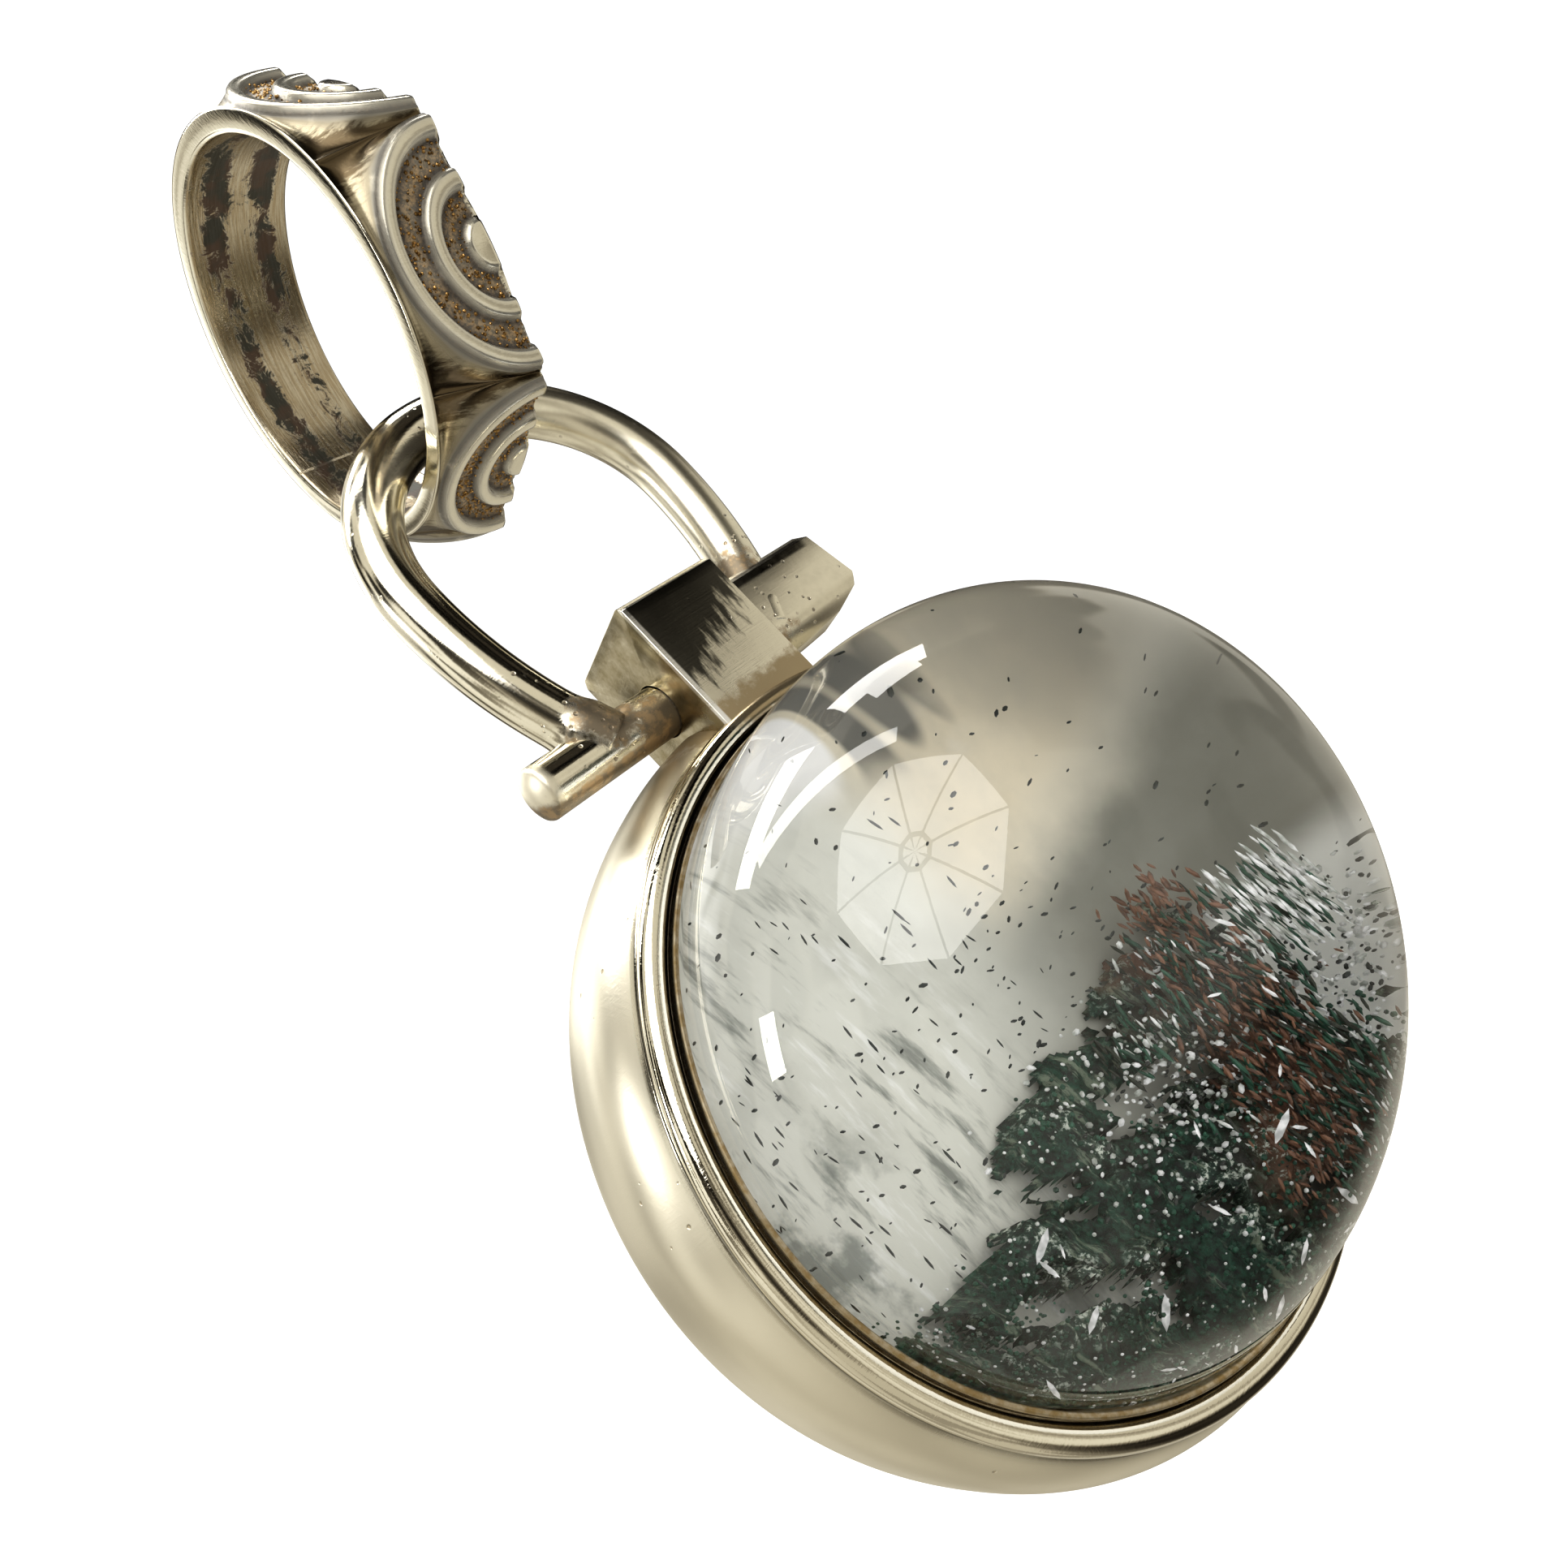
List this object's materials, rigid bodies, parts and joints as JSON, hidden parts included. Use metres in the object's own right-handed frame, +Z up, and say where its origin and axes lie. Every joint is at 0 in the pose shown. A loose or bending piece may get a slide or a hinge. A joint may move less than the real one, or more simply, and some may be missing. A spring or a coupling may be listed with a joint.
{
  "type": "quartz pendant",
  "caption": "Pendant with a high clear quartz dome in a bowl-shaped silver bezel, hinged on the crossbar of a wire loop that hangs in a wide cast bail.",
  "frame": {"origin": "top of the bail's hole, in the middle of the bail's width, where the chain or cord lies", "axes": "+Z up, front to -Y, +X to the right along the crossbar and along the chain"},
  "size_m": [0.0289, 0.0228, 0.0565],
  "materials": {
    "cast_silver": "cast silver with polished ridges and a dark stippled ground",
    "wire_silver": "polished silver with brown tarnish at the solder joints",
    "bezel_silver": "polished silver with fine scratches",
    "quartz": "polished clear quartz with dark green and reddish inclusions"
  },
  "bodies": {
    "bail": {"bail": "cast_silver"},
    "loop": {"loop": "wire_silver"},
    "drop": {"setting": "bezel_silver", "stone": "quartz"}
  },
  "joints": [
    {"name": "loop_swing", "type": "hinge", "parent": "bail", "child": "loop", "pos_m": [0.00065, 0.0007, -0.01113], "axis": [1, 0, 0], "range_deg": [-75, 75]},
    {"name": "drop_swing", "type": "hinge", "parent": "loop", "child": "drop", "pos_m": [0.00055, 0.0007, -0.02528], "axis": [1, 0, 0], "range_deg": [-60, 60]}
  ]
}
